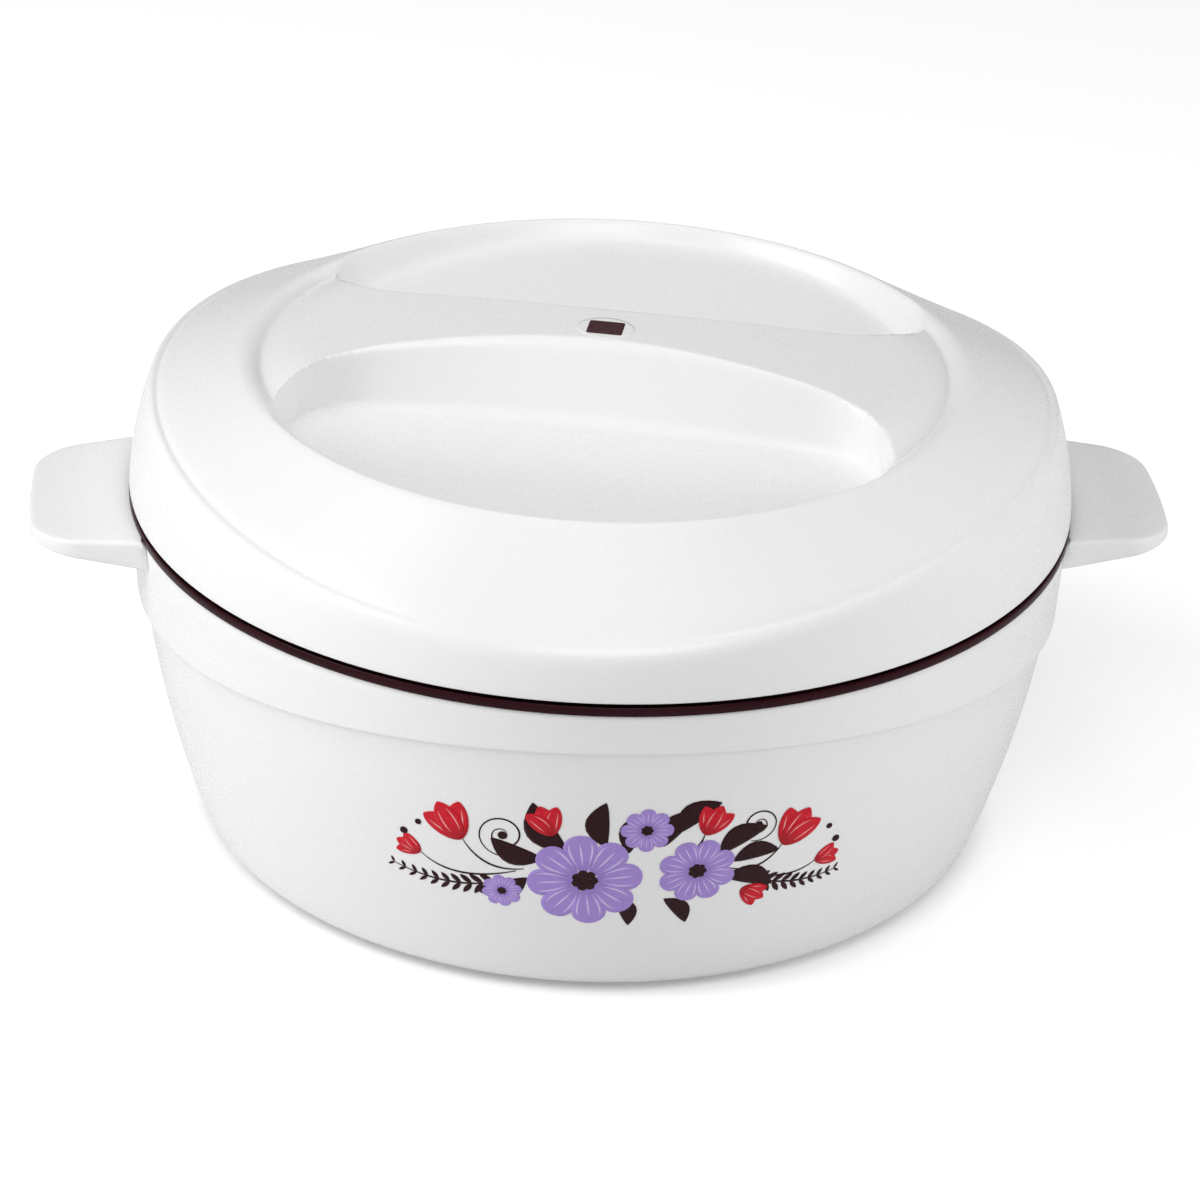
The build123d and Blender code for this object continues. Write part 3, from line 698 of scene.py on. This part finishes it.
# the printed spray on the body, with one dictionary for each of its pieces; flat places are (across, up) in
# millimetres from the middle of the print, on the side wall unrolled, and angles in degrees
spray = dict(middleHeight=-50, turn=-1, filmThickness=0.04, hair=0.004)   # turned from straight in front
daisies = dict(
    place=((-9, -3.5), (20.5, -1), (6.5, 13.5), (-30.5, -9.5)), radius=(15.2, 10.6, 7, 5.4),
    turn=(8, 25, 0, 15), petals=8, petalLength=0.90, petalWidth=0.60, petalStart=0.10,
    widest=1.9, fullness=0.55, lift=0.075)
tulips = dict(
    place=((-42, 6), (44, 4), (-18, 11), (22, 11), (33, -9), (-53, -1), (54, -4)),
    heading=(122, 58, 112, 66, 325, 160, 12), length=(13, 13, 10, 10, 8, 7.5, 7.5),
    spread=27, petalWidth=0.54, sideLength=0.95, sideBend=0.07, fullness=0.72, lift=0.085)
leaves = dict(
    place=((-14, 6), (-4, 8), (11, 8), (14, 12), (-24, -4), (26, 4), (12, -10), (28, -4), (-1, -9), (-20, 3),
           (2, 6), (30, 1)),
    heading=(122, 92, 52, 38, 205, 30, 305, 340, 292, 160, 70, 8),
    length=(18, 14.5, 14, 15, 15, 15, 11, 14.5, 11, 15, 14, 13),
    width=0.44, bend=0.16, fullness=0.85, lift=0.05)
fronds = dict(
    start=((-30, -6), (34, -5)), middle=((-44, -12), (47, -12)), end=((-60.5, -7), (60.5, -9)),
    pairs=9, leafLength=4.8, leafWidth=0.38, tipSize=0.45, lean=48, fullness=0.9, lift=0.045)
stems = dict(
    start=((-25, -1), (29, -1), (-15, 5), (18, 5), (-27, -2), (30, -2)),
    middle=((-36, -4), (38, -5), (-17, 8), (21, 7), (-44, -9), (46, -10)),
    end=((-42, 7), (44, 5), (-18, 12), (22, 12), (-53, -1), (54, -4)), width=0.6, lift=0.04)
curls = dict(
    middle=((-31, 9.5), (36.5, 12.5)), radius=(7.2, 5.6), start=(290, 250), turns=(-1.7, 1.7),
    windIn=0.80, width=0.5, lift=0.042)
dots = dict(
    ring=7, ringRadius=0.15, size=0.085, lift=0.11,
    berries=((-31, 9.5), (36.5, 12.5), (-58, 5), (60, 2), (-54, 9), (57.5, 7)),
    berrySizes=(1.3, 1, 1.1, 1.1, 0.9, 0.9))


def onWall(across, up, lift):
    # the unrolled wall put back round the body, lifted a little
    height = spray["middleHeight"] + up
    radius = wallRadius(height) + lift
    return turned(radius, across / radius - math.pi / 2 + math.radians(spray["turn"]), height)


def leafShapes(place, heading, length, width, widest=1.0, fullness=0.5, bend=0.0, rows=13, columns=9):
    # each shape runs from its foot along its heading; its half width is width/2 times 4x(1-x) to the power
    # fullness, x being the share of the length to the power widest, and its middle line bends sideways
    place, heading = np.asarray(place, float), np.radians(np.asarray(heading, float))
    length, width, bend = (np.broadcast_to(np.asarray(value, float), heading.shape)[:, None, None]
                           for value in (length, width, bend))
    along = (1 - np.cos(np.linspace(0, math.pi, rows)))[None, :, None] / 2
    side = np.linspace(-1, 1, columns)[None, None, :]
    reach = np.clip(along ** widest, 0, 1)
    half = width / 2 * np.maximum(4 * reach * (1 - reach), 1e-5) ** fullness
    forward = length * along
    sideways = half * side + bend * length * along * (1 - along) * 4
    cosine, sine = np.cos(heading)[:, None, None], np.sin(heading)[:, None, None]
    x = place[:, 0, None, None] + forward * cosine - sideways * sine
    y = place[:, 1, None, None] + forward * sine + sideways * cosine
    uv = np.stack(np.broadcast_arrays(along, (side + 1) / 2), -1)
    return x, y, np.broadcast_to(uv, x.shape + (2,))


def ribbons(paths, width):
    # a strip along each path, whose width follows a sine from end to end and keeps a quarter there
    tangent = np.gradient(paths, axis=1)
    tangent /= np.linalg.norm(tangent, axis=2, keepdims=True)
    normal = np.stack([-tangent[..., 1], tangent[..., 0]], -1)
    share = np.linspace(0, 1, paths.shape[1])
    half = width / 2 * (0.25 + 0.75 * np.sin(math.pi * np.clip(share * 0.9 + 0.08, 0, 1)))
    side = np.array([-1.0, 0.0, 1.0])
    points = paths[:, :, None, :] + normal[:, :, None, :] * (half[:, None] * side)[..., None]
    uv = np.stack(np.broadcast_arrays(share[:, None], (side + 1) / 2), -1)
    return points[..., 0], points[..., 1], np.broadcast_to(uv, points.shape)


def bentPaths(look, steps=22):
    # quadratic curves from each start to its end, drawn towards the middle point
    start, middle, end = (value[:, None, :] for value in arrays(look, "start", "middle", "end"))
    share = np.linspace(0, 1, steps)[None, :, None]
    return (1 - share) ** 2 * start + 2 * share * (1 - share) * middle + share ** 2 * end


def addPrint(name, shapes, lift, material):
    # every shape is one grid; neighbours lie a hair apart so that overlaps stay clean
    x, y, uv = (np.concatenate(parts) for parts in zip(*shapes))
    count, rows, columns = x.shape
    points = onWall(x, y, lift + spray["hair"] * (np.arange(count) % 4)[:, None, None])
    one = gridFaces(rows, columns, False, False)[:, ::-1]
    faces = (one[None] + (np.arange(count) * rows * columns)[:, None, None]).reshape(-1, 4)
    piece = addPiece(name, points, [faces], material)
    layer = piece.data.uv_layers.new(name="shape")
    layer.data.foreach_set("uv", uv.reshape(-1, 2)[faces.ravel()].astype(np.float32).ravel())
    thicken(piece, spray["filmThickness"])
    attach(piece, "casserole_body")


finish = dict(mottleScale=350, deepReach=0.45, veinStart=0.22, veinEnd=0.82, veinLeast=0.005, veinEdge=0.03,
                 bumpDepth=0.00001, roughness=(0.24, 0.34), ior=1.22)


def printInk(name, look):
    # ink that deepens towards the foot of each shape, with a faint mottle and pale veins along it: a vein's
    # half width is (x - start)(end - x) times its width, x being the share of the length
    board = NodeBoard(name)
    mesh = board.nodes.new("ShaderNodeUVMap")
    mesh.uv_map = "shape"
    parts = board.node("ShaderNodeSeparateXYZ", i0=mesh.outputs[0])
    along, side = parts.outputs[0], parts.outputs[1]
    mottle = board.noise(finish["mottleScale"], 2.0)
    foot = board.span(along, low=0.0, high=finish["deepReach"])
    colour = board.blendColour(foot, look["deep"], look["colour"])
    colour = board.blendColour(board.maths("MULTIPLY", mottle, look["mottle"]), colour, look["light"])
    if look["veins"]:
        saw = board.maths("FRACT", board.maths("MULTIPLY", side, look["veins"]))
        fold = board.maths("ABSOLUTE", board.maths("SUBTRACT", saw, 0.5))
        taper = board.maths("MULTIPLY", board.maths("SUBTRACT", along, finish["veinStart"]),
                            board.maths("SUBTRACT", finish["veinEnd"], along))
        width = board.maths("MULTIPLY", board.maths("MAXIMUM", taper, 0.0), look["veinWidth"])
        edge = finish["veinEdge"]
        vein = board.span(board.maths("SUBTRACT", fold, width), 1.0, 0.0, -edge, edge)
        vein = board.maths("MULTIPLY", vein, board.maths("GREATER_THAN", width, finish["veinLeast"]))
        colour = board.blendColour(vein, colour, look["light"])
    board.bump(mottle, finish["bumpDepth"])
    rough = board.span(mottle, *finish["roughness"])
    return board.set(Base_Color=colour, Roughness=rough, IOR=finish["ior"])


inkLooks = {
    "lavenderInk": dict(colour=(0.36, 0.24, 0.64), deep=(0.27, 0.16, 0.52), light=(0.66, 0.58, 0.84),
        veins=3, veinWidth=0.9, mottle=0.12),
    "redInk": dict(colour=(0.60, 0.006, 0.020), deep=(0.34, 0.003, 0.011), light=(0.86, 0.42, 0.42),
        veins=2, veinWidth=0.55, mottle=0.03),
    "leafInk": dict(colour=(0.024, 0.004, 0.006), deep=(0.020, 0.003, 0.005), light=(0.07, 0.015, 0.02),
        veins=0, mottle=0.08),
}
inks = {name: printInk(name, look) for name, look in inkLooks.items()}


def flowerPetals(look):
    # petals set evenly round each flower, starting a little off its middle
    place, radius, turn = arrays(look, "place", "radius", "turn")
    petal = np.arange(look["petals"]) * 360 / look["petals"]
    heading = (turn[:, None] + petal[None, :]).reshape(-1)
    size = np.repeat(radius, look["petals"])
    ahead = np.stack([np.cos(np.radians(heading)), np.sin(np.radians(heading))], -1)
    foot = np.repeat(place, look["petals"], axis=0) + look["petalStart"] * size[:, None] * ahead
    return leafShapes(foot, heading, size * look["petalLength"], size * look["petalWidth"],
                      widest=look["widest"], fullness=look["fullness"])


def tulipPetals(look):
    # two petals lean out beside a middle one
    place, heading, length = arrays(look, "place", "heading", "length")
    lean = np.array([-look["spread"], look["spread"], 0.0])
    size = np.repeat(length, 3) * np.tile([look["sideLength"], look["sideLength"], 1.0], len(length))
    turn = (heading[:, None] + lean[None, :]).reshape(-1)
    bend = np.tile([look["sideBend"], -look["sideBend"], 0.0], len(length))
    return leafShapes(np.repeat(place, 3, axis=0), turn, size, size * look["petalWidth"],
                      fullness=look["fullness"], bend=bend)


def leafBlades(look):
    # single leaves, each as wide as a share of its length
    width = np.array(look["length"]) * look["width"]
    return leafShapes(look["place"], look["heading"], look["length"], width,
                      fullness=look["fullness"], bend=look["bend"])


def frondLeaves(look):
    # pairs of leaflets along a bent stem, smaller towards its tip
    paths = bentPaths(look, look["pairs"] + 2)[:, 1:]
    ahead = np.gradient(paths, axis=1)
    heading = np.degrees(np.arctan2(ahead[..., 1], ahead[..., 0]))
    size = look["leafLength"] * np.linspace(1.0, look["tipSize"], paths.shape[1])
    size = np.broadcast_to(size, heading.shape)
    place = np.concatenate([paths, paths]).reshape(-1, 2)
    turn = np.concatenate([heading + look["lean"], heading - look["lean"]]).reshape(-1)
    length = np.concatenate([size, size]).reshape(-1)
    return leafShapes(place, turn, length, length * look["leafWidth"], fullness=look["fullness"],
                      rows=9, columns=5)


def curlPaths(look):
    # spirals that wind in to their middle at an even rate
    middle, radius, start, turns = arrays(look, "middle", "radius", "start", "turns")
    share = np.linspace(0, 1, 60)[None, :]
    angle = np.radians(start)[:, None] + 2 * math.pi * turns[:, None] * share
    reach = radius[:, None] * (1 - look["windIn"] * share)
    return middle[:, None, :] + np.stack([reach * np.cos(angle), reach * np.sin(angle)], -1)


def roundDots(place, size):
    # a shape as wide as it is long, with a half width by the root of 4x(1-x), is a circle
    foot = place - np.stack([size, np.zeros_like(size)], -1)
    return leafShapes(foot, np.zeros(len(size)), 2 * size, 2 * size, rows=9, columns=7)


def daisyMiddles(flowers, look):
    # one dot in the middle of each flower and a ring of dots about it
    place, radius = arrays(flowers, "place", "radius")
    angle = aroundOnce(look["ring"])
    ring = np.stack([np.cos(angle), np.sin(angle)], -1) * look["ringRadius"]
    ring = np.concatenate([[[0.0, 0.0]], ring])
    centres = place[:, None, :] + ring[None] * radius[:, None, None]
    return roundDots(centres.reshape(-1, 2), np.repeat(radius * look["size"], len(ring)))


stemPaths = np.concatenate([bentPaths(stems), bentPaths(fronds)])
for name, look, shapes, ink in (
        ("sprayLeaves", leaves, [leafBlades(leaves)], "leafInk"),
        ("sprayFronds", fronds, [frondLeaves(fronds)], "leafInk"),
        ("sprayStems", stems, [ribbons(stemPaths, stems["width"])], "leafInk"),
        ("sprayCurls", curls, [ribbons(curlPaths(curls), curls["width"])], "leafInk"),
        ("sprayTulips", tulips, [tulipPetals(tulips)], "redInk"),
        ("sprayDaisies", daisies, [flowerPetals(daisies)], "lavenderInk"),
        ("sprayDots", dots, [daisyMiddles(daisies, dots), roundDots(*arrays(dots, "berries", "berrySizes"))],
         "leafInk")):
    addPrint(name, shapes, look["lift"], inks[ink])
print("print built")

# camera, light and floor
view = dict(place=(-0.1092, -1.1890, 0.6833), target=(0.00114, -0.00011, 0.0611), roll=2.341, lens=144,
            sensor=36, farthest=20)


def buildCamera():
    # looks from its place to the target, turned about that line by the roll
    data = bpy.data.cameras.new("camera")
    data.lens = view["lens"]
    data.sensor_width = view["sensor"]
    data.clip_end = view["farthest"]
    camera = bpy.data.objects.new("camera", data)
    scene.collection.objects.link(camera)
    place = Vector(view["place"])
    forward = (Vector(view["target"]) - place).normalized()
    right = forward.cross(Vector((0, 0, 1))).normalized()
    up = right.cross(forward)
    cosine, sine = math.cos(math.radians(view["roll"])), math.sin(math.radians(view["roll"]))
    right, up = right * cosine + up * sine, up * cosine - right * sine
    facing = Matrix((right, up, -forward)).transposed().to_quaternion()
    camera.matrix_world = Matrix.LocRotScale(place, facing, None)
    scene.camera = camera


# round soft boxes aimed at the object: bearing from the front towards the left, elevation, power in watts
lamps = {
    "leftLowLamp": dict(bearing=80, elevation=12, power=11.2),
    "leftHighLamp": dict(bearing=80, elevation=45, power=11.1),
    "frontLamp": dict(bearing=0, elevation=50, power=9.5),
    "rightLamp": dict(bearing=-80, elevation=12, power=13.4),
    "backLamp": dict(bearing=180, elevation=50, power=1.9),
    "topLamp": dict(bearing=0, elevation=88, power=4.7),
}
beam = dict(reach=1.75, size=1.0, aimHeight=0.06, sheenFrom=20)
# the last two set a painted contact shade on the floor: how near the object its glow drops, and the least share
# kept
surround = dict(light=0.126, seen=1.0, floorHalf=6.0, floorGlow=0.40, farGlow=1.0, farStart=1.1, farEnd=1.6,
                paintedShadeReach=0.007, paintedShadeGlow=0.45)


def buildLamps():
    # each stands back from the aimed point against its beam; the low ones leave no sheen on the lid
    for name, look in lamps.items():
        data = bpy.data.lights.new(name, "AREA")
        data.shape = "DISK"
        data.size = beam["size"]
        data.energy = look["power"]
        lamp = bpy.data.objects.new(name, data)
        scene.collection.objects.link(lamp)
        bearing, elevation = math.radians(look["bearing"]), math.radians(look["elevation"])
        aim = Vector((math.sin(bearing) * math.cos(elevation), math.cos(bearing) * math.cos(elevation),
                      -math.sin(elevation)))
        lamp.location = Vector((0, 0, beam["aimHeight"])) - aim * beam["reach"]
        lamp.rotation_euler = aim.to_track_quat("-Z", "Y").to_euler()
        lamp.visible_glossy = look["elevation"] > beam["sheenFrom"]


def buildFloor():
    # a wide plane whose lit white glows a little for the camera alone, so that it reads as a white background
    # and still holds the shadow: less where the object closes the floor in, a painted contact shade, in full
    # behind the lamps
    corners = np.array([[-1, -1, 0], [1, -1, 0], [1, 1, 0], [-1, 1, 0]]) * surround["floorHalf"]
    board = NodeBoard("paleFloor")
    grain = board.noise(3.0, 2.0)
    colour = board.blendColour(grain, (0.80, 0.80, 0.80), (0.82, 0.82, 0.82))
    board.set(Base_Color=colour, Roughness=0.9, Specular_IOR_Level=0.0)
    glow = board.node("ShaderNodeEmission", Color=(1, 1, 1, 1))
    path = board.nodes.new("ShaderNodeLightPath")
    # painted contact shade: the floor's glow falls off where ambient occlusion finds the object close
    paintedShade = board.node("ShaderNodeAmbientOcclusion", Distance=surround["paintedShadeReach"]).outputs["AO"]
    away = board.node("ShaderNodeVectorMath", i0=board.place)
    away.operation = "LENGTH"
    level = board.span(away.outputs["Value"], surround["floorGlow"], surround["farGlow"],
                       surround["farStart"], surround["farEnd"])
    extra = board.maths("MULTIPLY", path.outputs["Is Camera Ray"], level)
    paintedShade = board.span(paintedShade, surround["paintedShadeGlow"], 1.0, 0.0, 1.0)
    board.feed(glow, "Strength", board.maths("MULTIPLY", extra, paintedShade))
    both = board.node("ShaderNodeAddShader", i0=board.shader.outputs[0], i1=glow.outputs[0])
    board.feed(board.nodes["Material Output"], "Surface", both.outputs[0])
    floor = addPiece("paleFloor", corners, [np.array([[0, 1, 2, 3]])], board.material)


def buildWorld():
    # a white surround that lights less than it shows
    world = scene.world = bpy.data.worlds.new("studio")
    world.use_nodes = True
    nodes, links = world.node_tree.nodes, world.node_tree.links
    background = nodes["Background"]
    path = nodes.new("ShaderNodeLightPath")
    strength = nodes.new("ShaderNodeMapRange")
    strength.inputs["To Min"].default_value = surround["light"]
    strength.inputs["To Max"].default_value = surround["seen"]
    links.new(path.outputs["Is Camera Ray"], strength.inputs["Value"])
    background.inputs["Color"].default_value = (1, 1, 1, 1)
    links.new(strength.outputs[0], background.inputs["Strength"])


buildCamera()
buildLamps()
buildFloor()
buildWorld()
scene.view_settings.view_transform = "Standard"
print("stage built")
